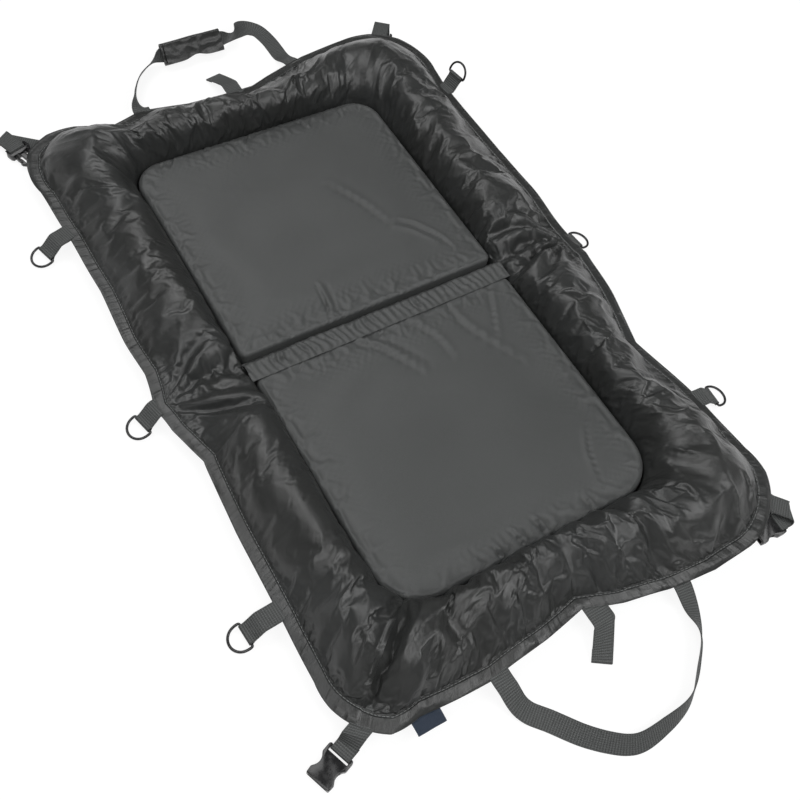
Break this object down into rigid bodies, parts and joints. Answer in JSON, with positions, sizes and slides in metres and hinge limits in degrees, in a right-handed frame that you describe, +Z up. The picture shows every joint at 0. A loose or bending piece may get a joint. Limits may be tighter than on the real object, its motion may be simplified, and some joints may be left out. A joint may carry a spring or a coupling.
{
  "type": "unhooking mat",
  "caption": "Folding padded unhooking mat with stuffed walls round flat pads, a gathered fold line, webbing handles, ring tabs, closure tabs and corner straps with side-release buckles.",
  "frame": {"origin": "middle of the fold line, on the underside of the mat", "axes": "+Z up from the ground, +Y along the mat towards the half whose handle has the padded wrap, +X to the right"},
  "size_m": [0.7404, 1.2606, 0.08],
  "materials": {
    "pad_cloth": "matte coated cloth",
    "wall_cloth": "semi-gloss coated nylon",
    "base_cloth": "matte coated cloth",
    "foam": "open foam",
    "bead_filling": "loose white beads",
    "webbing": "ribbed webbing",
    "hook_tape": "ribbed hook tape",
    "loop_tape": "napped loop tape",
    "label_cloth": "bare woven label",
    "ring_plastic": "glossy moulded",
    "buckle_plastic": "glossy moulded"
  },
  "bodies": {
    "near_half": {"near_base_cloth": "base_cloth", "near_hem": "wall_cloth", "near_pad_cover": "pad_cloth", "near_pad_foam": "foam", "near_left_wall": "wall_cloth", "near_left_wall_filling": "bead_filling", "near_right_wall": "wall_cloth", "near_right_wall_filling": "bead_filling", "near_end_wall": "wall_cloth", "near_end_wall_filling": "bead_filling", "fold_strip": "base_cloth", "fold_channel_cloth": "pad_cloth", "left_fold_gather": "wall_cloth", "right_fold_gather": "wall_cloth", "near_left_ring_tab": "webbing", "near_right_ring_tab": "webbing", "middle_left_ring_tab": "webbing", "middle_right_ring_tab": "webbing", "near_left_strap": "webbing", "near_right_strap": "webbing", "blank_label": "label_cloth"},
    "far_half": {"far_base_cloth": "base_cloth", "far_hem": "wall_cloth", "far_pad_cover": "pad_cloth", "far_pad_foam": "foam", "far_left_wall": "wall_cloth", "far_left_wall_filling": "bead_filling", "far_right_wall": "wall_cloth", "far_right_wall_filling": "bead_filling", "far_end_wall": "wall_cloth", "far_end_wall_filling": "bead_filling", "far_left_ring_tab": "webbing", "far_right_ring_tab": "webbing", "far_left_strap": "webbing", "far_right_strap": "webbing"},
    "near_handle": {"near_handle_webbing": "webbing"},
    "far_handle": {"far_handle_webbing": "webbing", "handle_wrap": "wall_cloth"},
    "wrap_flap": {"wrap_flap": "loop_tape"},
    "near_closure": {"near_closure_tab": "webbing", "near_hook_patch": "hook_tape"},
    "far_closure": {"far_closure_tab": "webbing", "far_loop_patch": "loop_tape"},
    "near_left_ring": {"near_left_ring": "ring_plastic"},
    "near_right_ring": {"near_right_ring": "ring_plastic"},
    "middle_left_ring": {"middle_left_ring": "ring_plastic"},
    "middle_right_ring": {"middle_right_ring": "ring_plastic"},
    "far_left_ring": {"far_left_ring": "ring_plastic"},
    "far_right_ring": {"far_right_ring": "ring_plastic"},
    "near_left_female_buckle": {"near_left_female_buckle": "buckle_plastic"},
    "near_right_female_buckle": {"near_right_female_buckle": "buckle_plastic"},
    "far_left_male_buckle": {"far_left_male_buckle": "buckle_plastic"},
    "far_left_male_buckle_left_arm": {"far_left_male_buckle_left_arm": "buckle_plastic"},
    "far_left_male_buckle_right_arm": {"far_left_male_buckle_right_arm": "buckle_plastic"},
    "far_right_male_buckle": {"far_right_male_buckle": "buckle_plastic"},
    "far_right_male_buckle_left_arm": {"far_right_male_buckle_left_arm": "buckle_plastic"},
    "far_right_male_buckle_right_arm": {"far_right_male_buckle_right_arm": "buckle_plastic"}
  },
  "joints": [
    {"name": "mat_fold", "type": "hinge", "parent": "near_half", "child": "far_half", "pos_m": [0, 0, 0.0803], "axis": [1, 0, 0], "range_deg": [0, 180]},
    {"name": "near_handle_swing", "type": "hinge", "parent": "near_half", "child": "near_handle", "pos_m": [0, -0.4887, 0.02095], "axis": [1, 0, 0], "range_deg": [-90, 0]},
    {"name": "far_handle_swing", "type": "hinge", "parent": "far_half", "child": "far_handle", "pos_m": [0, 0.4887, 0.02095], "axis": [-1, 0, 0], "range_deg": [-90, 0]},
    {"name": "wrap_flap_open", "type": "hinge", "parent": "far_handle", "child": "wrap_flap", "pos_m": [0, 0.59079, 0.03677], "axis": [1, 0, 0], "range_deg": [-150, 0]},
    {"name": "near_closure_swing", "type": "hinge", "parent": "near_half", "child": "near_closure", "pos_m": [0.016, -0.4887, 0.02095], "axis": [1, 0, 0], "range_deg": [-90, 0]},
    {"name": "far_closure_swing", "type": "hinge", "parent": "far_half", "child": "far_closure", "pos_m": [0.016, 0.4887, 0.02095], "axis": [-1, 0, 0], "range_deg": [-90, 0]},
    {"name": "near_left_ring_swing", "type": "hinge", "parent": "near_half", "child": "near_left_ring", "pos_m": [-0.34723, -0.30456, 0.00726], "axis": [-0.0698, 0.9976, 0], "range_deg": [-75, 110]},
    {"name": "near_right_ring_swing", "type": "hinge", "parent": "near_half", "child": "near_right_ring", "pos_m": [0.34723, -0.30456, 0.00726], "axis": [-0.0698, -0.9976, 0], "range_deg": [-75, 110]},
    {"name": "middle_left_ring_swing", "type": "hinge", "parent": "near_half", "child": "middle_left_ring", "pos_m": [-0.33863, -0.00539, 0.00726], "axis": [-0.2419, 0.9703, 0], "range_deg": [-75, 110]},
    {"name": "middle_right_ring_swing", "type": "hinge", "parent": "near_half", "child": "middle_right_ring", "pos_m": [0.33916, 0.00233, 0.00726], "axis": [0.1045, -0.9945, 0], "range_deg": [-75, 110]},
    {"name": "far_left_ring_swing", "type": "hinge", "parent": "far_half", "child": "far_left_ring", "pos_m": [-0.34642, 0.29686, 0.00726], "axis": [-0.2756, 0.9613, 0], "range_deg": [-75, 110]},
    {"name": "far_right_ring_swing", "type": "hinge", "parent": "far_half", "child": "far_right_ring", "pos_m": [0.34317, 0.3482, 0.03847], "axis": [0.1736, -0.9848, 0], "range_deg": [-110, 30]},
    {"name": "near_left_female_buckle_swing", "type": "hinge", "parent": "near_half", "child": "near_left_female_buckle", "pos_m": [-0.31736, -0.46692, 0.00505], "axis": [0.342, -0.9397, 0], "range_deg": [-70, 0]},
    {"name": "near_right_female_buckle_swing", "type": "hinge", "parent": "near_half", "child": "near_right_female_buckle", "pos_m": [0.30089, -0.48981, 0.00505], "axis": [-0.0349, -0.9994, 0], "range_deg": [-8, 0]},
    {"name": "far_left_male_buckle_swing", "type": "hinge", "parent": "far_half", "child": "far_left_male_buckle", "pos_m": [-0.31533, 0.49751, 0.00685], "axis": [0.9397, 0.342, 0], "range_deg": [-70, 0]},
    {"name": "far_left_male_buckle_left_arm_flex", "type": "hinge", "parent": "far_left_male_buckle", "child": "far_left_male_buckle_left_arm", "pos_m": [-0.30193, 0.48935, 0.00685], "axis": [0, 0, 1], "range_deg": [-7, 0], "stiffness_Nm_per_rad": 0.4},
    {"name": "far_left_male_buckle_right_arm_flex", "type": "hinge", "parent": "far_left_male_buckle", "child": "far_left_male_buckle_right_arm", "pos_m": [-0.32035, 0.48265, 0.00685], "axis": [0, 0, 1], "range_deg": [0, 7], "stiffness_Nm_per_rad": 0.4},
    {"name": "far_right_male_buckle_swing", "type": "hinge", "parent": "far_half", "child": "far_right_male_buckle", "pos_m": [0.30583, 0.51158, 0.00505], "axis": [0.866, -0.5, 0], "range_deg": [-8, 0]},
    {"name": "far_right_male_buckle_left_arm_flex", "type": "hinge", "parent": "far_right_male_buckle", "child": "far_right_male_buckle_left_arm", "pos_m": [0.30819, 0.49607, 0.00505], "axis": [0, 0, 1], "range_deg": [-7, 0], "stiffness_Nm_per_rad": 0.4},
    {"name": "far_right_male_buckle_right_arm_flex", "type": "hinge", "parent": "far_right_male_buckle", "child": "far_right_male_buckle_right_arm", "pos_m": [0.29122, 0.50587, 0.00505], "axis": [0, 0, 1], "range_deg": [0, 7], "stiffness_Nm_per_rad": 0.4}
  ],
  "couplings": [
    {"joint": "far_left_male_buckle_right_arm_flex", "follows": "far_left_male_buckle_left_arm_flex", "ratio": -1},
    {"joint": "far_right_male_buckle_right_arm_flex", "follows": "far_right_male_buckle_left_arm_flex", "ratio": -1}
  ]
}
